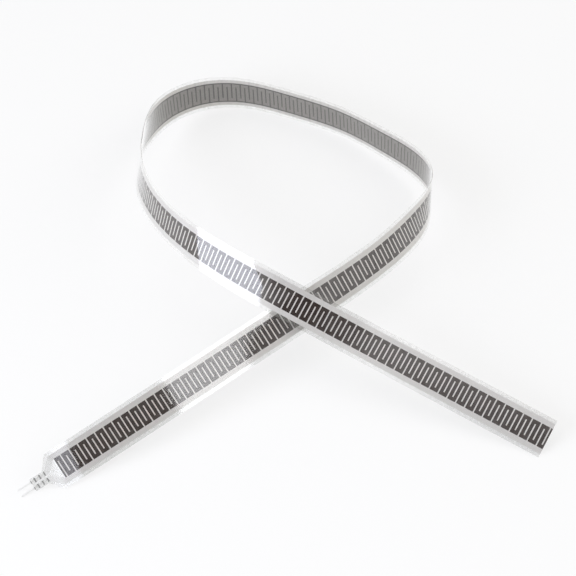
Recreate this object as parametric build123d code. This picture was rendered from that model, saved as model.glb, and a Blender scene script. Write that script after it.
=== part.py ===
"""Trimmable force sensing strip: two clear films laminated round a printed comb and an ink layer.

The strip is bent into an open loop whose ends cross, and lies on a table as it comes to rest:
on the tip of a terminal pin, on a corner of its cut end and on the lower edge of the loop's back.
All sizes are in millimetres. The front face carries the comb pattern and is the outside of the loop.
"""
from build123d import *

import os
from math import atan2, ceil, cos, degrees, pi, radians

os.makedirs("parts", exist_ok=True)

# Active area: straight fingers, printed alternately from the left and the right bus.
FINGER_COUNT = 320
FINGER_PITCH = 1.905
FINGER_WIDTH = 0.5
BAND_WIDTH = 8.4          # clear width between the two buses
BUS_WIDTH = 2.0
TIP_GAP = 1.45            # from a finger's tip to the opposite bus
INK_LAP = 0.5             # how far the ink reaches under each bus
ACTIVE_LENGTH = FINGER_COUNT * FINGER_PITCH

# Laminate, from the rear face forwards.
STRIP_WIDTH = 15.24
REAR_FILM_THICK = 0.12
INK_THICK = 0.04
SPACER_THICK = 0.07
SILVER_THICK = 0.03
FRONT_FILM_THICK = 0.12
WINDOW_CLEARANCE = 0.1    # from the ink's edge to the spacer

# Tail: the strip keeps its width for a short shoulder, then tapers to a narrow neck.
SHOULDER_LENGTH = 2.2
TAPER_LENGTH = 4.1
NECK_WIDTH = 5.2
NECK_LENGTH = 5.6
TAIL_RADIUS = 0.8
WINDOW_END = 0.5          # the spacer's window reaches this far past the first finger's pitch
LEAD_INSET = 1.4          # clear margin outside each silver lead
LEAD_GAP = 1.0            # between the two leads in the neck

# Terminals: folded sheet metal, crimped through the neck, each with one flat solder pin.
PIN_PITCH = 2.54
SHEET_THICK = 0.25
CRIMP_LENGTH = 5.2
CRIMP_WIDTH = 1.7
CRIMP_RADIUS = 0.22
CRIMP_START = 0.2         # from the neck's start to the crimp
CLAW_COUNT = 3
CLAW_LENGTH = 1.0
CLAW_REACH = 0.5
SLOT_CLEARANCE = 0.03
PIN_WIDTH = 0.64
PIN_LENGTH = 6.2
PIN_TAPER = 0.8
PIN_NOSE = 0.32           # width at the chamfered tip

# The loop: each row spreads one smooth bend or twist over part of the strip, as the distance of
# its middle from the first finger's edge, its spread along the strip, and its angle in degrees.
# A bend is positive where the strip curls away from its front face, a twist where it turns
# clockwise as seen along the strip from the tail.
BENDS = [
    (20, 95, 13.5),
    (160, 110, 47.5),
    (205, 70, 60.0),
    (260, 50, 16.0),
    (325, 90, 100.0),
    (425, 245, 93.5),
    (520, 50, -12.0),
]
TWISTS = [
    (120, 85, 21.0),
    (180, 50, 29.5),
    (235, 50, -6.5),
    (325, 75, 14.5),
    (365, 65, -19.5),
    (475, 145, -40.5),
    (575, 130, 8.0),
]
HEADING = 24.5            # direction of the tail on the table, from the X axis, in degrees
MARCH_STEPS = 4           # steps per finger in following the bends
FACE_FINGERS = 8          # the long faces are made in lengths of this many fingers
INK_FACE_FINGERS = 2      # and the thin ink's, so that both its sides are faceted alike

HALF_WIDTH = STRIP_WIDTH / 2
HALF_BAND = BAND_WIDTH / 2
BUS_OUTER = HALF_BAND + BUS_WIDTH
INK_EDGE = HALF_BAND + INK_LAP
WINDOW_EDGE = INK_EDGE + WINDOW_CLEARANCE
FINGER_TIP = HALF_BAND - TIP_GAP
REAR_FILM_TOP = REAR_FILM_THICK
INK_TOP = REAR_FILM_TOP + INK_THICK
SILVER_BASE = REAR_FILM_TOP + SPACER_THICK
SILVER_TOP = SILVER_BASE + SILVER_THICK
STRIP_THICK = SILVER_TOP + FRONT_FILM_THICK
NECK_START = -(SHOULDER_LENGTH + TAPER_LENGTH)
NECK_END = NECK_START - NECK_LENGTH
CRIMP_FRONT = NECK_START - CRIMP_START
CRIMP_BACK = CRIMP_FRONT - CRIMP_LENGTH
PIN_TIP = CRIMP_BACK - PIN_LENGTH


def rate(rows, s):
    """Degrees per millimetre at s: the sum of the rows' raised-cosine bumps."""
    total = 0.0
    for middle, spread, angle in rows:
        offset = (s - middle) / spread
        if abs(offset) < 0.5:
            total += angle / spread * (1 + cos(2 * pi * offset))
    return total


def follow_strip():
    """Frames along the strip's middle, from the first finger's edge: X along, Y across, Z forwards."""
    step = FINGER_PITCH / MARCH_STEPS
    half = Pos(X=step / 2)
    frames = [Location()]
    for i in range(FINGER_COUNT * MARCH_STEPS):
        s = (i + 0.5) * step
        turn = Rot(X=rate(TWISTS, s) * step, Y=rate(BENDS, s) * step)
        frames.append(frames[-1] * half * turn * half)
    return frames


FRAMES = follow_strip()


def frame_at(s):
    """The strip's frame at s. The tail, at s below zero, is flat."""
    step = FINGER_PITCH / MARCH_STEPS
    index = min(max(int(s / step), 0), len(FRAMES) - 1)
    return FRAMES[index] * Pos(X=s - index * step)


def spot(s, v, h):
    """The point at s along the strip, v to the left of its middle and h above its rear face."""
    return (frame_at(s) * Pos(Y=v, Z=h)).position


def resting_place():
    """Move from the tail's own frame to the table, with the origin below the middle of the outline."""
    pin = spot(PIN_TIP, -(PIN_PITCH + PIN_NOSE) / 2, -SHEET_THICK)
    corner = spot(ACTIVE_LENGTH, -HALF_WIDTH, 0)
    hinge = (corner - pin).normalized()
    level = hinge.cross(Vector(0, 0, -1)).normalized()
    upright = hinge.cross(level)

    def droop(point):
        arm = point - pin
        return atan2(-arm.dot(upright), arm.dot(level))

    stations = range(FINGER_COUNT // 5, FINGER_COUNT * 4 // 5)
    edge = [spot(i * FINGER_PITCH, -HALF_WIDTH, h) for i in stations for h in (0, STRIP_THICK)]
    lowest = max(edge, key=droop)
    up = hinge.cross(lowest - pin).normalized()
    floor = Plane(origin=pin, x_dir=hinge, z_dir=up if up.Z > 0 else -up)
    laid = floor.location.inverse()
    tail = (laid * Pos(X=1)).position - laid.position
    turned = Rot(Z=HEADING - degrees(atan2(tail.Y, tail.X))) * laid
    outline = [turned * Pos(*spot(i * FINGER_PITCH, v, 0))
               for i in range(FINGER_COUNT + 1) for v in (-HALF_WIDTH, HALF_WIDTH)]
    outline.append(turned * Pos(*pin))
    middle_x = (min(p.position.X for p in outline) + max(p.position.X for p in outline)) / 2
    middle_y = (min(p.position.Y for p in outline) + max(p.position.Y for p in outline)) / 2
    return Pos(X=-middle_x, Y=-middle_y) * turned


REST = resting_place()
FRAMES = [REST * frame for frame in FRAMES]
TAIL = FRAMES[0]


def course(s, v, h):
    """Which way, and how fast, the point at (v, h) of the cross-section moves as s grows."""
    twist = radians(rate(TWISTS, s))
    bend = radians(rate(BENDS, s))
    frame = frame_at(s)
    return (frame * Pos(1 + bend * h, -twist * h, twist * v)).position - frame.position


def rail(s0, s1, v, h):
    """A smooth edge along the strip at one place of its cross-section."""
    third = (s1 - s0) / 3
    start, end = spot(s0, v, h), spot(s1, v, h)
    return Edge.make_bezier(start, start + course(s0, v, h) * third, end - course(s1, v, h) * third, end)


def panel(s0, s1, a, b):
    """The ruled face between two places (v, h) of the cross-section, from s0 to s1."""
    return Face.make_surface_from_curves(rail(s0, s1, *a), rail(s0, s1, *b))


def cut_face(s, section):
    """The flat end face of a cross-section at s."""
    return Face(Wire.make_polygon([spot(s, v, h) for v, h in section]))


def ribbon(section, face_fingers=FACE_FINGERS):
    """A solid that carries a cross-section, given as (v, h) corners, along the bent strip."""
    count = ceil(FINGER_COUNT / face_fingers)
    ends = [ACTIVE_LENGTH * i / count for i in range(count + 1)]
    faces = [cut_face(s, section) for s in (0.0, ACTIVE_LENGTH)]
    for a, b in zip(section, section[1:] + section[:1]):
        faces += [panel(*span, *sorted((a, b))) for span in zip(ends, ends[1:])]
    return Solid(Shell(faces))


def box_section(v0, v1, h0, h1):
    """Corners of a rectangular cross-section."""
    return [(v0, h0), (v1, h0), (v1, h1), (v0, h1)]


def plate(points, h0, h1, radius=0.0, rounded=()):
    """A flat plate in the tail, from its outline in (s, v), with some corners rounded."""
    outline = Face(Wire.make_polygon([Vector(s, v, h0) for s, v in points]))
    corners = [v for v in outline.vertices() if any(abs(v.X - s) + abs(v.Y - y) < 1e-6 for s, y in rounded)]
    if corners and radius > 0:
        outline = outline.fillet_2d(radius, corners)
    return TAIL * extrude(outline, h1 - h0, dir=(0, 0, 1))


def tail_plate(h0, h1):
    """The tail's full outline as a flat plate: shoulders, taper and neck."""
    half_neck = NECK_WIDTH / 2
    upper = [(0, HALF_WIDTH), (-SHOULDER_LENGTH, HALF_WIDTH), (NECK_START, half_neck), (NECK_END, half_neck)]
    lower = [(s, -v) for s, v in reversed(upper)]
    return plate(upper + lower, h0, h1, TAIL_RADIUS, upper[1:3] + lower[1:3])


def lead(side):
    """The silver lead from a bus to its crimp, which runs inside the tail's edge."""
    inner = LEAD_GAP / 2
    outer = NECK_WIDTH / 2 - LEAD_INSET / 3
    points = [
        (0, HALF_BAND),
        (0, BUS_OUTER),
        (-SHOULDER_LENGTH + LEAD_INSET / 2, BUS_OUTER),
        (NECK_START + LEAD_INSET / 2, outer),
        (CRIMP_BACK, outer),
        (CRIMP_BACK, inner),
        (NECK_START + BUS_WIDTH, inner),
    ]
    return plate([(s, side * v) for s, v in points], SILVER_BASE, SILVER_TOP)


def claw_places():
    """Where the claws of a crimp begin along the tail."""
    pitch = (CRIMP_LENGTH - CLAW_LENGTH) / (CLAW_COUNT - 1)
    return [CRIMP_BACK + i * pitch for i in range(CLAW_COUNT)]


def claw_slots():
    """Cutters for the slots that the claws of both crimps make in the neck."""
    cutters = []
    for start in claw_places():
        for side in (-1, 1):
            for edge in (-1, 1):
                middle = side * PIN_PITCH / 2 + edge * (CRIMP_WIDTH - SHEET_THICK) / 2
                slot = Box(CLAW_LENGTH + 2 * SLOT_CLEARANCE, SHEET_THICK + 2 * SLOT_CLEARANCE, 4 * STRIP_THICK)
                cutters.append(TAIL * Pos(start + CLAW_LENGTH / 2, middle, 0) * slot)
    return cutters


def film(h0, h1):
    """One of the two outer films: the bent strip with its flat tail."""
    strip = ribbon(box_section(-HALF_WIDTH, HALF_WIDTH, h0, h1))
    return (tail_plate(h0, h1) + strip) - SLOTS


def polygon(points):
    """A flat face from its corners."""
    return Face(Wire.make_polygon(points))


def join_rings(near, far):
    """The side faces between two rings of corners, with straight edges from one to the other."""
    edges = [Edge.make_line(a, b) for a, b in zip(near, far)]
    return [Face.make_surface_from_curves(a, b) for a, b in zip(edges, edges[1:] + edges[:1])]


def comb(side):
    """One silver comb: its bus, every second finger and the lead to its crimp, as one print.

    Each finger is flat and ends in a point on the bus's outer edge. The bus bends between them.
    """
    outer = side * BUS_OUTER
    inner = side * HALF_BAND
    tip = -side * FINGER_TIP
    low, high = SILVER_BASE, SILVER_TOP
    bus_section = box_section(inner, outer, low, high)
    start, end = ([spot(s, v, h) for v, h in bus_section] for s in (0.0, ACTIVE_LENGTH))
    faces = [polygon(start), polygon(end)]
    ring = start
    for i in range(1 if side > 0 else 0, FINGER_COUNT, 2):
        flat = frame_at((i + 0.5) * FINGER_PITCH)
        half = FINGER_WIDTH / 2
        point, root, point_end = ({(x, h): (flat * Pos(x, v, h)).position for x in (-half, 0, half) for h in (low, high)}
                                  for v in (outer, inner, tip))
        near, far = ([root[x, low], point[0, low], point[0, high], root[x, high]] for x in (-half, half))
        faces += join_rings(ring, near)
        for h in (low, high):
            faces.append(polygon([root[-half, h], point_end[-half, h], point_end[half, h], root[half, h], point[0, h]]))
        for x in (-half, half):
            faces.append(polygon([root[x, low], point_end[x, low], point_end[x, high], root[x, high]]))
        faces.append(polygon([point_end[x, h] for x, h in ((-half, low), (half, low), (half, high), (-half, high))]))
        ring = far
    faces += join_rings(ring, end)
    return (lead(side) + Solid(Shell(faces))) - SLOTS


def spacer():
    """The adhesive between the films: a frame round the window, open at the cut end."""
    window = [(0, WINDOW_EDGE), (-WINDOW_END, WINDOW_EDGE), (-WINDOW_END, -WINDOW_EDGE), (0, -WINDOW_EDGE)]
    body = tail_plate(REAR_FILM_TOP, SILVER_BASE) - plate(window, REAR_FILM_TOP, SILVER_BASE)
    for v0, v1 in ((-HALF_WIDTH, -WINDOW_EDGE), (WINDOW_EDGE, HALF_WIDTH)):
        body += ribbon(box_section(v0, v1, REAR_FILM_TOP, SILVER_BASE))
    return body - SLOTS


def terminal(side):
    """A crimped terminal: a base under the neck, claws folded over its front, and a solder pin."""
    height = STRIP_THICK + 2 * SHEET_THICK
    base = Pos(CRIMP_BACK + CRIMP_LENGTH / 2, 0, -SHEET_THICK / 2) * Box(CRIMP_LENGTH, CRIMP_WIDTH, SHEET_THICK)
    hoop = Box(CLAW_LENGTH, CRIMP_WIDTH, height)
    hoop = fillet(hoop.edges().filter_by(Axis.X).group_by(Axis.Z)[-1], CRIMP_RADIUS)
    hoop -= Box(CLAW_LENGTH, CRIMP_WIDTH - 2 * SHEET_THICK, STRIP_THICK)
    opening = Box(CLAW_LENGTH, CRIMP_WIDTH - 2 * CLAW_REACH, height)
    hoop -= Pos(Z=height / 2) * opening
    body = base
    for start in claw_places():
        body += Pos(start + CLAW_LENGTH / 2, 0, STRIP_THICK / 2) * hoop
    outline = [
        (CRIMP_BACK, CRIMP_WIDTH / 2),
        (CRIMP_BACK - PIN_TAPER, PIN_WIDTH / 2),
        (PIN_TIP + PIN_NOSE, PIN_WIDTH / 2),
        (PIN_TIP, PIN_NOSE / 2),
    ]
    outline += [(s, -v) for s, v in reversed(outline)]
    blank = Face(Wire.make_polygon([Vector(s, v, -SHEET_THICK) for s, v in outline]))
    body += extrude(blank, SHEET_THICK, dir=(0, 0, 1))
    return TAIL * Pos(Y=side * PIN_PITCH / 2) * body


SLOTS = claw_slots()

PARTS = {
    "rear_film": film(0, REAR_FILM_TOP),
    "resistive_ink": ribbon(box_section(-INK_EDGE, INK_EDGE, REAR_FILM_TOP, INK_TOP), INK_FACE_FINGERS),
    "spacer_adhesive": spacer(),
    "silver_comb_left": comb(1),
    "silver_comb_right": comb(-1),
    "front_film": film(SILVER_TOP, STRIP_THICK),
    "terminal_left": terminal(1),
    "terminal_right": terminal(-1),
}

for name, shape in PARTS.items():
    export_step(shape, f"parts/{name}.step")
    box = shape.bounding_box()
    print(f"{name}: {len(shape.solids())} solid, valid {shape.is_valid}, {shape.volume:.2f} mm3, "
          f"z {box.min.Z:.2f} to {box.max.Z:.2f}")
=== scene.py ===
# %% [markdown]
# # A bent force sensing strip
#
# The real object is a laminate: two clear polyester films with printed layers and adhesive
# between them. It is made flat and then bent by hand into an open loop. The scene follows the same
# order: each layer starts as a flat bmesh sheet in the strip's own coordinates, is cut and
# thickened there, and is then laid along the bent course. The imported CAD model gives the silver
# combs and the crimped terminals as they are, and the box that the whole model has to stay in.

# %% Load the frame
import bpy
import bmesh
import math
import numpy as np
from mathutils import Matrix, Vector


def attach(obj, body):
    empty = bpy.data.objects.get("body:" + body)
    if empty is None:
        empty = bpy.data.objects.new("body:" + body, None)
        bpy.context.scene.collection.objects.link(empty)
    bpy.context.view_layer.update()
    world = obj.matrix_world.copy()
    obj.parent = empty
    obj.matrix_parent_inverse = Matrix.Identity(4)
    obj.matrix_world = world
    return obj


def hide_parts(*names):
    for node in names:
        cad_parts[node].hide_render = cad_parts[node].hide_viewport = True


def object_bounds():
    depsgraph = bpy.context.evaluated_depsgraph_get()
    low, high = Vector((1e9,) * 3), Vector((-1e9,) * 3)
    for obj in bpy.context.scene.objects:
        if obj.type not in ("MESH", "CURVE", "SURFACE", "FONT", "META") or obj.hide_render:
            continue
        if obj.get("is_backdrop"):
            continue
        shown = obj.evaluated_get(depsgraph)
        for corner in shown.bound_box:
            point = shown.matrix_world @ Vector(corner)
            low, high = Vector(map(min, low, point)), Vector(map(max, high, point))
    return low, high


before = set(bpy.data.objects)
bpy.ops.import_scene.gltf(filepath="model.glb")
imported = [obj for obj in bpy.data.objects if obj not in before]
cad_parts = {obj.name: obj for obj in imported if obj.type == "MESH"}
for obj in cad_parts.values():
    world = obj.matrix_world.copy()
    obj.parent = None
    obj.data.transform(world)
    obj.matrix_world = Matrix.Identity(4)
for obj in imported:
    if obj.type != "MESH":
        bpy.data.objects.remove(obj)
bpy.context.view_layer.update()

# %% [markdown]
# ## Sizes of the laminate
#
# These are sizes of the CAD source, in metres, written out again, because the scene reads only the
# imported frame. Along the strip the coordinate is `s`, from the first printed finger. Across it is
# `v`, from the middle, and up through the layers it is `h`, from the rear face. The tail lies at
# negative `s`, and narrows from the shoulder on. The clear layers are kept a hair apart, so that
# no two see-through faces share one place, where the renderer can't tell which of them comes
# first.

# %% Sizes
MM = 0.001
FINGER_COUNT = 320
FINGER_PITCH = 1.905 * MM
PRINTED_LENGTH = FINGER_COUNT * FINGER_PITCH
HALF_WIDTH = 7.62 * MM
SHOULDER = -2.2 * MM
REAR_FILM_TOP = 0.12 * MM
INK_TOP = 0.16 * MM
ADHESIVE_TOP = 0.19 * MM
SILVER_TOP = 0.22 * MM
STRIP_THICK = 0.34 * MM
HAIR = 0.003 * MM
print("printed length", round(PRINTED_LENGTH, 4), "m, thickness", round(STRIP_THICK, 5), "m")

# %% [markdown]
# ## The bent course
#
# A strip of film can bend and twist but it can't stretch, so its shape is a bend rate and a twist
# rate along its length. Each row below spreads one smooth bump of bend or twist: its middle and
# its spread along the strip in millimetres, and its angle in degrees. A curve object with a sheet
# wrapped along it could make the same loop, but its twist is hard to steer. Marching along the
# strip and turning a little at each step follows the CAD source exactly. The marching adds up 1280
# small turns, so it is done in numpy's double precision: Blender's own vectors have single
# precision, and the error at the far end would be as thick as the ink.

# %% Bends and twists along the strip
BENDS = [
    (20, 95, 13.5),
    (160, 110, 47.5),
    (205, 70, 60.0),
    (260, 50, 16.0),
    (325, 90, 100.0),
    (425, 245, 93.5),
    (520, 50, -12.0),
]
TWISTS = [
    (120, 85, 21.0),
    (180, 50, 29.5),
    (235, 50, -6.5),
    (325, 75, 14.5),
    (365, 65, -19.5),
    (475, 145, -40.5),
    (575, 130, 8.0),
]


def rate(bumps, s_mm):
    """Degrees a millimetre at one place: the sum of the raised-cosine bumps that reach it."""
    total = 0.0
    for middle, spread, angle in bumps:
        offset = (s_mm - middle) / spread
        if abs(offset) < 0.5:
            total += angle / spread * (1 + math.cos(2 * math.pi * offset))
    return total


print("sharpest bend", round(max(rate(BENDS, s) for s in range(610)), 2), "degrees a millimetre")

# %% [markdown]
# ## Where the strip starts
#
# The tail end of the strip rests on the tip of a solder pin, tilted and leaning on one edge. Its
# place and three turns come from the CAD source: the heading on the table, how far the tail points
# down, and how far the strip leans over.

# %% The tail's place, and the march along the strip
TAIL_PLACE = np.array((-85.91675, -92.40804, 5.69001)) * MM
TAIL_HEADING = 24.5
TAIL_DIP = -14.9077
TAIL_LEAN = 40.7478
STEPS_A_FINGER = 4
STEP = FINGER_PITCH / STEPS_A_FINGER


def turn(axis, degrees):
    """A turn about one of the axes, as a 3 by 3 matrix."""
    c = math.cos(math.radians(degrees))
    s = math.sin(math.radians(degrees))
    if axis == "X":
        return np.array(((1, 0, 0), (0, c, -s), (0, s, c)))
    if axis == "Y":
        return np.array(((c, 0, s), (0, 1, 0), (-s, 0, c)))
    return np.array(((c, -s, 0), (s, c, 0), (0, 0, 1)))


def march():
    """The place and the directions of the strip at every step."""
    place = TAIL_PLACE
    facing = turn("Z", TAIL_HEADING) @ turn("Y", TAIL_DIP) @ turn("X", TAIL_LEAN)
    places = [place]
    facings = [facing]
    step_mm = STEP / MM
    for i in range(FINGER_COUNT * STEPS_A_FINGER):
        s_mm = (i + 0.5) * STEP / MM
        twist = turn("X", rate(TWISTS, s_mm) * step_mm)
        bend = turn("Y", rate(BENDS, s_mm) * step_mm)
        before = facing[:, 0]
        facing = facing @ twist @ bend
        place = place + (before + facing[:, 0]) * STEP / 2
        places.append(place)
        facings.append(facing)
    return np.array(places), np.array(facings)


PLACES, FACINGS = march()
print("far end", PLACES[-1].round(4))

# %% [markdown]
# ## Laying a flat sheet on the course
#
# A point of a flat sheet is at (s, v, h). Its bent place is the course's place at `s`, plus `v`
# across and `h` along the strip's own directions there. The flat coordinates are kept as a UV map
# first, so that a material can still run along the strip after it is bent. All the points lie on
# steps, and a nudge keeps rounding from putting one of them on the step before.

# %% Helpers: keep the flat map, and lay the sheet
NUDGE = 0.001


def keep_flat_map(bm):
    flat = bm.loops.layers.uv.new("flat")
    for face in bm.faces:
        for loop in face.loops:
            loop[flat].uv = loop.vert.co.xy


def lay(bm):
    flat = np.array([vert.co[:] for vert in bm.verts])
    index = np.clip((flat[:, 0] / STEP + NUDGE).astype(int), 0, len(PLACES) - 1)
    flat[:, 0] -= index * STEP
    bent = PLACES[index] + np.einsum("nij,nj->ni", FACINGS[index], flat)
    for vert, place in zip(bm.verts, bent):
        vert.co = place


# %% [markdown]
# ## Flat sheets
#
# `create_grid` gives a sheet two units wide round the origin, so it is scaled and moved to its
# place. Its rows match the printed pitch, two rows a finger, which is fine enough for the bends. A
# sheet is thickened by extruding all its faces at once, which also closes its sides.

# %% Helpers: cut a sheet, find its first row, and thicken it
ROWS = FINGER_COUNT * 2
ON_THE_START = 1e-7


def cut_sheet(bm, v0, v1, h, columns):
    """A sheet over the printed length, from v0 to v1 across."""
    verts = bmesh.ops.create_grid(bm, x_segments=ROWS, y_segments=columns, size=1.0)["verts"]
    bmesh.ops.scale(bm, verts=verts, vec=(PRINTED_LENGTH / 2, (v1 - v0) / 2, 1.0))
    bmesh.ops.translate(bm, verts=verts, vec=(PRINTED_LENGTH / 2, (v0 + v1) / 2, h))


def first_row(bm):
    """The points at the start of the print, in their order across."""
    return sorted((v for v in bm.verts if abs(v.co.x) < ON_THE_START), key=lambda v: v.co.y)


def thicken(bm, thickness):
    top = bmesh.ops.extrude_face_region(bm, geom=bm.faces[:])["geom"]
    lifted = [part for part in top if isinstance(part, bmesh.types.BMVert)]
    bmesh.ops.translate(bm, verts=lifted, vec=(0, 0, thickness))
    bmesh.ops.recalc_face_normals(bm, faces=bm.faces[:])


# %% [markdown]
# ## Finishing a piece
#
# Every piece is made a mesh whose places are already final, so its object stays at the origin. It
# shades smoothly along the bends and keeps its cut edges sharp. It rides on the one body of this
# part and stands for a CAD node, which stays in the physics model for collision.

# %% Helper: finish a piece
SHARP_ANGLE = math.radians(40)


def finish_piece(bm, name, materials, replaced):
    keep_flat_map(bm)
    lay(bm)
    open_edges = sum(not edge.is_manifold for edge in bm.edges)
    mesh = bpy.data.meshes.new(name)
    bm.to_mesh(mesh)
    bm.free()
    for material in materials:
        mesh.materials.append(material)
    mesh.shade_smooth()
    mesh.set_sharp_from_angle(angle=SHARP_ANGLE)
    piece = bpy.data.objects.new(name, mesh)
    bpy.context.scene.collection.objects.link(piece)
    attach(piece, "root")
    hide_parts(replaced)
    print(name, len(mesh.polygons), "faces,", open_edges, "open edges")


# %% [markdown]
# ## Starting a material
#
# Every finish starts from one Principled shader. Values that are the same all over are set on its
# own sockets, and nodes drive only what varies. The helpers each add one small group of nodes:
# `math_node` reckons with one or two values, `fade` turns a value into a soft mask between two
# limits, `grain` is a noise pattern squeezed into a range, `two_tone` colours a pattern, `blend`
# lays one colour over another, and `bumped` gives the surface a relief. The scale of a grain is in
# spots a metre, because Object coordinates are metres.

# %% Helpers: a material, and its small groups of nodes
def start_material(name, **sockets):
    material = bpy.data.materials.new(name)
    material.use_nodes = True
    shader = material.node_tree.nodes["Principled BSDF"]
    for socket, value in sockets.items():
        shader.inputs[socket.replace("_", " ")].default_value = value
    print("material", name)
    return material, material.node_tree, shader


def object_place(tree):
    return tree.nodes.new("ShaderNodeTexCoord").outputs["Object"]


def math_node(tree, operation, *values):
    node = tree.nodes.new("ShaderNodeMath")
    node.operation = operation
    for socket, value in zip(node.inputs, values):
        if isinstance(value, (int, float)):
            socket.default_value = value
        else:
            tree.links.new(value, socket)
    return node.outputs[0]


def fade(tree, value, start, end, low=0.0, high=1.0):
    mask = tree.nodes.new("ShaderNodeMapRange")
    mask.inputs["From Min"].default_value = start
    mask.inputs["From Max"].default_value = end
    mask.inputs["To Min"].default_value = low
    mask.inputs["To Max"].default_value = high
    tree.links.new(value, mask.inputs["Value"])
    return mask.outputs["Result"]


def grain(tree, scale, low, high, detail=3.0):
    noise = tree.nodes.new("ShaderNodeTexNoise")
    noise.inputs["Scale"].default_value = scale
    noise.inputs["Detail"].default_value = detail
    tree.links.new(object_place(tree), noise.inputs["Vector"])
    return fade(tree, noise.outputs["Fac"], 0.3, 0.7, low, high)


def two_tone(tree, pattern, darker, lighter):
    ramp = tree.nodes.new("ShaderNodeValToRGB")
    ramp.color_ramp.elements[0].color = darker
    ramp.color_ramp.elements[1].color = lighter
    tree.links.new(pattern, ramp.inputs["Fac"])
    return ramp.outputs["Color"]


def blend(tree, mask, under, over):
    mix = tree.nodes.new("ShaderNodeMix")
    mix.data_type = "RGBA"
    tree.links.new(mask, mix.inputs["Factor"])
    if isinstance(under, tuple):
        mix.inputs["A"].default_value = under
    else:
        tree.links.new(under, mix.inputs["A"])
    mix.inputs["B"].default_value = over
    return mix.outputs["Result"]


def bumped(tree, shader, height, depth, strength):
    bump = tree.nodes.new("ShaderNodeBump")
    bump.inputs["Distance"].default_value = depth
    bump.inputs["Strength"].default_value = strength
    tree.links.new(height, bump.inputs["Height"])
    tree.links.new(bump.outputs["Normal"], shader.inputs["Normal"])


# %% [markdown]
# The tail is flat, so a distance along it or up from its rear face is one dot product of the
# object's coordinates. The silver and the tin use such distances for their marks in the tail.

# %% Helper: distances in the tail
ALONG = 0
UP = 2


def tail_distance(tree, axis):
    offset = tree.nodes.new("ShaderNodeVectorMath")
    offset.operation = "SUBTRACT"
    tree.links.new(object_place(tree), offset.inputs[0])
    offset.inputs[1].default_value = PLACES[0]
    distance = tree.nodes.new("ShaderNodeVectorMath")
    distance.operation = "DOT_PRODUCT"
    tree.links.new(offset.outputs["Vector"], distance.inputs[0])
    distance.inputs[1].default_value = FACINGS[0][:, axis]
    return distance.outputs["Value"]


# %% [markdown]
# ## Clear film
#
# The films are clear polyester, 0.12 mm thick. Real glass shaders bend light at each of the thin
# faces and turn everything under them dark, because no lamp can be aimed at through them. So the
# film is a bright mirror that is nearly transparent: its alpha is the share of light that a sheet
# with air on both sides reflects, twice Fresnel's share, and it is nothing on the faces seen from
# inside. A very shallow waviness makes reflections swim a little, as they do on a bent film.

# %% The film's face
POLYESTER_IOR = 1.55
film_look, tree, shader = start_material(
    "clear_film", Base_Color=(1.0, 1.0, 1.0, 1.0), Metallic=1.0, Roughness=0.06
)
fresnel = tree.nodes.new("ShaderNodeFresnel")
fresnel.inputs["IOR"].default_value = POLYESTER_IOR
backfacing = tree.nodes.new("ShaderNodeNewGeometry").outputs["Backfacing"]
outside = math_node(tree, "SUBTRACT", 1.0, backfacing)
both_faces = math_node(tree, "MULTIPLY", fresnel.outputs["Fac"], 2.0)
reflected = math_node(tree, "MULTIPLY", both_faces, outside)
tree.links.new(math_node(tree, "MINIMUM", reflected, 1.0), shader.inputs["Alpha"])
tree.links.new(grain(tree, 900, 0.05, 0.08), shader.inputs["Roughness"])
bumped(tree, shader, grain(tree, 30, 0.0, 1.0, 0.0), 0.00002, 0.25)

# %% [markdown]
# The die leaves a narrow clouded border where the films are cut. On the white table it shows as a
# faint cream line, so it is a slightly milky version of the film on its own ring of faces.

# %% The film's cut border
border_look, tree, shader = start_material(
    "clear_film_border", Base_Color=(0.72, 0.7, 0.58, 1.0), Roughness=0.35, Alpha=0.16
)
tree.links.new(grain(tree, 1500, 0.25, 0.5), shader.inputs["Roughness"])

# %% [markdown]
# ## Resistive ink
#
# The carbon ink is screen printed and thin, so it isn't opaque: the white table shows through it
# as warm grey, and it looks nearly black only where one leg of the loop crosses the other. Its
# alpha lets about a twenty-fifth of the light through two faces. Print mottle of a few millimetres
# varies that, and a fine grain breaks up its sheen. The face against the film, which the back of
# the loop shows, has a paler colour: painted light, for the table's light that shines through the
# ink from behind.

# %% The ink, from the front and through its film
INK_ALPHA = 0.8
MOTTLE = 0.025
FRONT_INK_COLOUR = (0.03, 0.011, 0.004, 1.0)
# The rear face's colour is painted light: paler than the ink, for light shining through from
# behind.
BACKLIT_REAR_INK_COLOUR = (0.275, 0.257, 0.232, 1.0)


def ink(name, colour):
    look, tree, shader = start_material(name, Base_Color=colour, Roughness=0.5, Alpha=INK_ALPHA)
    mottle = grain(tree, 260, INK_ALPHA - MOTTLE, INK_ALPHA + MOTTLE)
    tree.links.new(mottle, shader.inputs["Alpha"])
    tree.links.new(grain(tree, 5000, 0.4, 0.6), shader.inputs["Roughness"])
    bumped(tree, shader, grain(tree, 9000, 0.0, 1.0, 1.0), 0.00001, 0.5)
    return look


ink_look = ink("resistive_ink", FRONT_INK_COLOUR)
ink_rear_look = ink("resistive_ink_painted_backlight", BACKLIT_REAR_INK_COLOUR)

# %% [markdown]
# From behind, the comb shows through the ink. Between the fingers the ink is lit from both sides,
# and the silver blocks one of them, so the fingers and the two buses are dark lines. The lines
# could come from the light alone, but that takes a more transparent ink, which is then too pale in
# front. So they are a pattern on the sheet's flat map, with the sizes of the comb. Each pitch has
# a finger in its middle. Every second finger starts at the other bus, and each one ends a little
# short of the bus that it points to.

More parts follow.
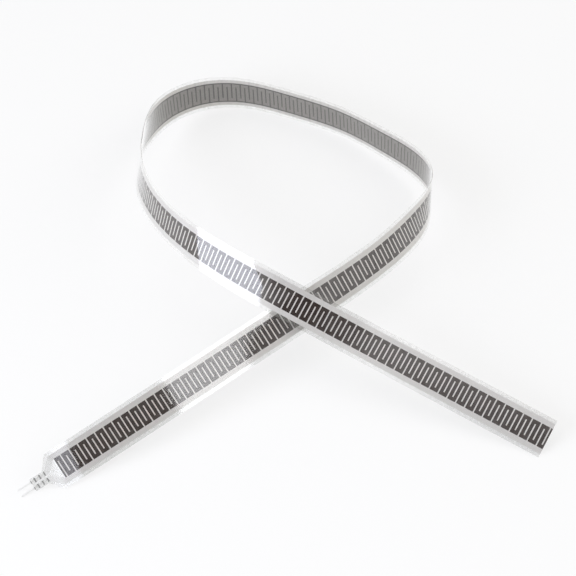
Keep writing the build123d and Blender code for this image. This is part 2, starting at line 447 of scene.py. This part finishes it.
# %% The comb seen through the ink
FINGER_WIDTH = 0.5 * MM
FINGER_TIP = 2.75 * MM
HALF_BAND = 4.2 * MM
SHADED_INK_COLOUR = (0.065, 0.058, 0.05, 1.0)
tree = ink_rear_look.node_tree
flat_map = tree.nodes.new("ShaderNodeUVMap")
flat_map.uv_map = "flat"
flat_place = tree.nodes.new("ShaderNodeSeparateXYZ")
tree.links.new(flat_map.outputs["UV"], flat_place.inputs["Vector"])
across = flat_place.outputs["Y"]
pitches = math_node(tree, "MULTIPLY", flat_place.outputs["X"], 1 / FINGER_PITCH)
off_middle = math_node(tree, "SUBTRACT", math_node(tree, "FRACT", pitches), 0.5)
off_middle = math_node(tree, "ABSOLUTE", off_middle)
on_finger = math_node(tree, "LESS_THAN", off_middle, FINGER_WIDTH / 2 / FINGER_PITCH)
odd = math_node(tree, "MODULO", math_node(tree, "FLOOR", pitches), 2.0)
side = math_node(tree, "SUBTRACT", 1.0, math_node(tree, "MULTIPLY", odd, 2.0))
to_tip = math_node(tree, "MULTIPLY", across, side)
on_finger = math_node(tree, "MULTIPLY", on_finger, math_node(tree, "LESS_THAN", to_tip, FINGER_TIP))
on_bus = math_node(tree, "GREATER_THAN", math_node(tree, "ABSOLUTE", across), HALF_BAND)
on_silver = math_node(tree, "MAXIMUM", on_finger, on_bus)
shaded = blend(tree, on_silver, BACKLIT_REAR_INK_COLOUR, SHADED_INK_COLOUR)
tree.links.new(shaded, tree.nodes["Principled BSDF"].inputs["Base Color"])

# %% [markdown]
# ## Adhesive
#
# The adhesive is a clear transfer tape, slightly milky and cream, with small dimples where it
# hasn't wetted the film. It hides almost nothing.

# %% The adhesive
adhesive_look, tree, shader = start_material(
    "adhesive", Base_Color=(0.85, 0.84, 0.76, 1.0), Roughness=0.6, Alpha=0.06
)
tree.links.new(grain(tree, 700, 0.03, 0.09), shader.inputs["Alpha"])

# %% [markdown]
# ## Silver ink
#
# The combs are silver ink: flakes in a binder, so it is a light grey that is more matt than metal,
# with a grain finer than the print. It is paler on the leads in the tail, where it lies on
# adhesive. Between the claws of a crimp it is painted dark, as painted shade where the claws shade
# the gaps, and these marks are the darkest spots on the tail. A cosine along the tail, with the
# claws' pitch, puts a blotchy bar of painted shade in each gap and one in front of the last claw.

# %% The silver ink
CLAW_PITCH = 2.1 * MM
FIRST_GAP = -10.15 * MM
CLAW_SHADE_END = (-5.6 * MM, -5.5 * MM)
silver_look, tree, shader = start_material(
    "silver_ink", Base_Color=(0.71, 0.69, 0.67, 1.0), Metallic=0.2, Roughness=0.5
)
flakes = grain(tree, 4500, 0.0, 1.0)
flakes = two_tone(tree, flakes, (0.65, 0.63, 0.605, 1.0), (0.78, 0.76, 0.735, 1.0))
along = tail_distance(tree, ALONG)
on_leads = fade(tree, along, 0.0, SHOULDER, 0.0, 0.85)
paler = blend(tree, on_leads, flakes, (0.93, 0.925, 0.9, 1.0))
# Painted shade: a dark bar in each gap between the claws, and one in front of the last.
turns = math_node(tree, "SUBTRACT", along, FIRST_GAP)
turns = math_node(tree, "MULTIPLY", turns, 2 * math.pi / CLAW_PITCH)
claw_shade_bars = fade(tree, math_node(tree, "COSINE", turns), 0.5, 0.95)
claw_shade_bars = math_node(tree, "MULTIPLY", claw_shade_bars, fade(tree, along, *CLAW_SHADE_END, 1.0, 0.0))
claw_shade_bars = math_node(tree, "MULTIPLY", claw_shade_bars, grain(tree, 1300, 0.45, 1.0))
painted_claw_shade = blend(tree, claw_shade_bars, paler, (0.08, 0.08, 0.075, 1.0))
tree.links.new(painted_claw_shade, shader.inputs["Base Color"])
tree.links.new(grain(tree, 6000, 0.4, 0.6), shader.inputs["Roughness"])

# %% [markdown]
# ## Tinned metal
#
# The terminals are stamped from tinned sheet. Tin is soft and pale, with a satin grain and small
# dull patches, where handling has marked it. The inside of each crimp is painted dark, as painted
# shade where the claws and the film shade it, and shows where the pin leaves it and at the sides of
# the claws. Two heights and a place along the tail bound the painted shade: it starts just under
# the base's upper face, ends where the claws fold over the film, and leaves the pin pale.

# %% The tin
CRIMP_BACK = -11.7 * MM
INSIDE_FLOOR = (-0.08 * MM, -0.04 * MM)
INSIDE_ROOF = (0.3 * MM, STRIP_THICK)
INSIDE_BACK = (CRIMP_BACK - 0.4 * MM, CRIMP_BACK - 0.2 * MM)
tin_look, tree, shader = start_material(
    "tinned_metal", Base_Color=(0.93, 0.925, 0.9, 1.0), Metallic=0.15, Roughness=0.35
)
height = tail_distance(tree, UP)
above_floor = fade(tree, height, *INSIDE_FLOOR)
below_roof = fade(tree, height, *INSIDE_ROOF, 1.0, 0.0)
off_pin = fade(tree, tail_distance(tree, ALONG), *INSIDE_BACK)
# Painted shade inside the crimp, under the claws and the film.
crimp_shade = math_node(tree, "MULTIPLY", above_floor, below_roof)
crimp_shade = math_node(tree, "MULTIPLY", crimp_shade, off_pin)
crimp_shade = math_node(tree, "MULTIPLY", crimp_shade, grain(tree, 1100, 0.6, 1.0))
patches = grain(tree, 900, 0.0, 1.0)
patches = two_tone(tree, patches, (0.87, 0.865, 0.83, 1.0), (0.95, 0.945, 0.925, 1.0))
painted_crimp_shade = blend(tree, crimp_shade, patches, (0.09, 0.088, 0.08, 1.0))
tree.links.new(painted_crimp_shade, shader.inputs["Base Color"])
tree.links.new(grain(tree, 2500, 0.3, 0.45), shader.inputs["Roughness"])
bumped(tree, shader, grain(tree, 3000, 0.0, 1.0), 0.000005, 0.3)

# %% [markdown]
# ## The films
#
# Both films have the same outline: the printed length, and a tail with two shoulders that narrows
# to a neck for the terminals. The tail is one flat face that shares the sheet's first row of
# points, so film and tail are one piece. Its corners are rounded with a vertex bevel, as the die
# cuts them, apart from the two at the tail's end. An inset of the whole outline gives the ring of
# faces for the cut border.

# %% Helper: the tail's outline
NECK_START = -6.3 * MM
NECK_END = -11.9 * MM
HALF_NECK = 2.6 * MM
CORNER = 0.38 * MM


def add_tail(bm, h, row):
    outline = [(SHOULDER, HALF_WIDTH), (NECK_START, HALF_NECK), (NECK_END, HALF_NECK)]
    outline += [(s, -v) for s, v in reversed(outline)]
    corners = [bm.verts.new((s, v, h)) for s, v in outline]
    bm.faces.new(row + corners)
    rounded = [vert for vert in corners if vert.co.x > NECK_END + MM]
    bmesh.ops.bevel(
        bm, geom=rounded, offset=CORNER, segments=4, profile=0.5, affect="VERTICES", material=-1
    )


# %% The two films
FILM_COLUMNS = 12
BORDER = 0.28 * MM


def make_film(name, h0, h1, replaced):
    bm = bmesh.new()
    cut_sheet(bm, -HALF_WIDTH, HALF_WIDTH, h0, FILM_COLUMNS)
    add_tail(bm, h0, first_row(bm))
    ring = bmesh.ops.inset_region(bm, faces=bm.faces[:], thickness=BORDER, use_even_offset=True)
    for face in ring["faces"]:
        face.material_index = 1
    thicken(bm, h1 - h0)
    finish_piece(bm, name, (film_look, border_look), replaced)


make_film("rear_film_sheet", 0, REAR_FILM_TOP - HAIR, "rear_film")
make_film("front_film_sheet", SILVER_TOP + HAIR, STRIP_THICK, "front_film")

# %% [markdown]
# ## The ink band
#
# The ink is one long rectangle on the rear film, a little narrower than the window in the
# adhesive. Its faces against the film get the rear material.

# %% The ink band
INK_EDGE = 4.7 * MM
INK_COLUMNS = 8
bm = bmesh.new()
cut_sheet(bm, -INK_EDGE, INK_EDGE, REAR_FILM_TOP + HAIR, INK_COLUMNS)
thicken(bm, INK_TOP - REAR_FILM_TOP - HAIR)
for face in bm.faces:
    if max(vert.co.z for vert in face.verts) < (REAR_FILM_TOP + INK_TOP) / 2:
        face.material_index = 1
finish_piece(bm, "ink_band", (ink_look, ink_rear_look), "resistive_ink")

# %% [markdown]
# ## The adhesive
#
# The adhesive fills both margins and the tail and leaves a window over the ink. The two margins
# are grids, and the tail is one face between them, which shares the three points at the start of
# each. The cut end of the strip stays open.

# %% The adhesive
WINDOW_EDGE = 4.8 * MM
WINDOW_END = -0.5 * MM
MARGIN_COLUMNS = 2
bm = bmesh.new()
sheet_height = REAR_FILM_TOP + HAIR
for side in (-1, 1):
    low, high = sorted((side * WINDOW_EDGE, side * HALF_WIDTH))
    cut_sheet(bm, low, high, sheet_height, MARGIN_COLUMNS)
row = first_row(bm)
window = [bm.verts.new((WINDOW_END, side * WINDOW_EDGE, sheet_height)) for side in (-1, 1)]
add_tail(bm, sheet_height, row[:3] + window + row[3:])
thicken(bm, ADHESIVE_TOP - REAR_FILM_TOP - 2 * HAIR)
finish_piece(bm, "adhesive_layer", (adhesive_look,), "spacer_adhesive")

# %% [markdown]
# ## Combs and terminals
#
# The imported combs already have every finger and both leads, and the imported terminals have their
# crimps and pins, so these nodes stay and only get their finish.

# %% Dress the CAD nodes
for node, look in {
    "silver_comb_left": silver_look,
    "silver_comb_right": silver_look,
    "terminal_left": tin_look,
    "terminal_right": tin_look,
}.items():
    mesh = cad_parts[node].data
    mesh.materials.clear()
    mesh.materials.append(look)
    print(node, "dressed in", look.name)

# %% [markdown]
# ## Table
#
# The photograph shows a white table without a visible edge or a strong shadow. A large matt sheet,
# nearly white, is mixed with plain white light for the rays that are seen, straight or in a
# reflection. That lifts the white and leaves some of the soft shadow, and it lights nothing more.
# The table seen through the clear strip gets less of it, so the strip's margins stand out a
# little.

# %% The table
TABLE_HALF = 6.0
WHITE_SHARE = 0.65
LESS_THROUGH_STRIP = 0.15
bm = bmesh.new()
bmesh.ops.create_grid(bm, x_segments=1, y_segments=1, size=TABLE_HALF)
mesh = bpy.data.meshes.new("table")
bm.to_mesh(mesh)
bm.free()
table = bpy.data.objects.new("table", mesh)
bpy.context.scene.collection.objects.link(table)
table_look, tree, shader = start_material(
    "table_white", Base_Color=(0.98, 0.98, 0.98, 1.0), Roughness=0.9, Specular_IOR_Level=0.0
)
rays = tree.nodes.new("ShaderNodeLightPath").outputs
seen = math_node(tree, "MAXIMUM", rays["Is Camera Ray"], rays["Is Glossy Ray"])
seen = math_node(tree, "MAXIMUM", seen, rays["Is Transmission Ray"])
through = math_node(tree, "GREATER_THAN", rays["Transparent Depth"], 0.5)
less = math_node(tree, "MULTIPLY", through, LESS_THROUGH_STRIP)
share = math_node(tree, "SUBTRACT", WHITE_SHARE, less)
white = tree.nodes.new("ShaderNodeEmission")
white.inputs["Color"].default_value = (1.0, 1.0, 1.0, 1.0)
mixed = tree.nodes.new("ShaderNodeMixShader")
tree.links.new(math_node(tree, "MULTIPLY", seen, share), mixed.inputs["Fac"])
tree.links.new(shader.outputs["BSDF"], mixed.inputs[1])
tree.links.new(white.outputs["Emission"], mixed.inputs[2])
tree.links.new(mixed.outputs["Shader"], tree.nodes["Material Output"].inputs["Surface"])
mesh.materials.append(table_look)
table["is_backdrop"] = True

# %% [markdown]
# ## Light
#
# The room is white and even. Film mirrors whatever is behind the viewer, and in the photograph
# most of the near leg shows no reflection, because the viewer blocks the light there. So the world
# has one soft dark disc round the viewing direction. It is part of the room and not of any
# material.

# %% The room
VIEWER_AZIMUTH = 5.0
VIEWER_HEIGHT = 49.0
DISC_OUTER = 31.0
DISC_INNER = 21.0
ROOM_STRENGTH = 0.78
DISC_STRENGTH = 0.03


def direction(azimuth, height):
    """A direction from the object, with azimuth 0 at the front, -Y, and 90 at the right, +X."""
    a = math.radians(azimuth)
    e = math.radians(height)
    return Vector((math.sin(a) * math.cos(e), -math.cos(a) * math.cos(e), math.sin(e)))


room = bpy.data.worlds.new("room")
bpy.context.scene.world = room
room.use_nodes = True
tree = room.node_tree
nearness = tree.nodes.new("ShaderNodeVectorMath")
nearness.operation = "DOT_PRODUCT"
tree.links.new(tree.nodes.new("ShaderNodeTexCoord").outputs["Generated"], nearness.inputs[0])
nearness.inputs[1].default_value = direction(VIEWER_AZIMUTH, VIEWER_HEIGHT)
disc_limits = [math.cos(math.radians(angle)) for angle in (DISC_OUTER, DISC_INNER)]
disc = fade(tree, nearness.outputs["Value"], *disc_limits, ROOM_STRENGTH, DISC_STRENGTH)
disc.node.interpolation_type = "SMOOTHSTEP"
tree.nodes["Background"].inputs["Color"].default_value = (1.0, 1.0, 1.0, 1.0)
tree.links.new(disc, tree.nodes["Background"].inputs["Strength"])
print("room strength", ROOM_STRENGTH, "and", DISC_STRENGTH, "behind the viewer")

# %% [markdown]
# The lamps are soft boxes. The large window at the left gives the sharp bluish patch on the leg
# that crosses over, and two small ones give the paler patches on the near leg. One more at the
# right evens out the light on the strip, where no part of it is mirrored. A lamp's brightness is
# given as radiance, and its power follows from its area. Each call gives a lamp's azimuth and
# height in degrees, its distance, width and height in metres, its radiance and its tint.

# %% The soft boxes
def soft_box(name, azimuth, height, distance, width, tall, radiance, tint):
    data = bpy.data.lights.new(name, "AREA")
    data.shape = "RECTANGLE"
    data.size = width
    data.size_y = tall
    data.energy = radiance * math.pi * width * tall
    data.color = tint
    lamp = bpy.data.objects.new(name, data)
    lamp.location = direction(azimuth, height) * distance
    lamp.rotation_euler = (-lamp.location).to_track_quat("-Z", "Y").to_euler()
    bpy.context.scene.collection.objects.link(lamp)
    print(name, round(data.energy, 2), "W")


soft_box("window", -57.3, 25.0, 0.9, 0.553, 0.57, 3.9, (0.85, 0.88, 1.0))
soft_box("small_box", 32.5, 47.9, 0.9, 0.078, 0.09, 3.3, (0.97, 0.98, 1.0))
soft_box("end_box", -4.9, 39.4, 0.9, 0.046, 0.08, 2.1, (0.88, 0.91, 1.0))
soft_box("right_box", 85, 42, 1.2, 0.8, 0.8, 1.3, (1.0, 0.98, 0.95))

# %% [markdown]
# ## Camera
#
# The photograph was taken from the front and high up, with a long lens, and it was set square to
# nothing. The camera's place and turns were fitted to the strip's edges and printed fingers. Rays
# pass many clear faces where the legs cross, so the limit on those is raised.

# %% The camera
camera_data = bpy.data.cameras.new("camera")
camera_data.sensor_width = 36
camera_data.lens = 158.34
camera_data.clip_start = 0.05
camera = bpy.data.objects.new("camera", camera_data)
camera.location = (0.08467, -0.66803, 0.75254)
camera.rotation_euler = [math.radians(angle) for angle in (41.092, 6.672, -0.315)]
bpy.context.scene.collection.objects.link(camera)
bpy.context.scene.camera = camera
bpy.context.scene.cycles.transparent_max_bounces = 48
bpy.context.scene.view_settings.view_transform = "Standard"
print("camera at", [round(x, 3) for x in camera.location])

# %% [markdown]
# ## Sizes and finish
#
# The scene's box is printed. The visual model has to stay in the CAD model's box.

# %% Sizes and finish
low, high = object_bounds()
print("scene box", [round(x, 4) for x in (*low, *high)])
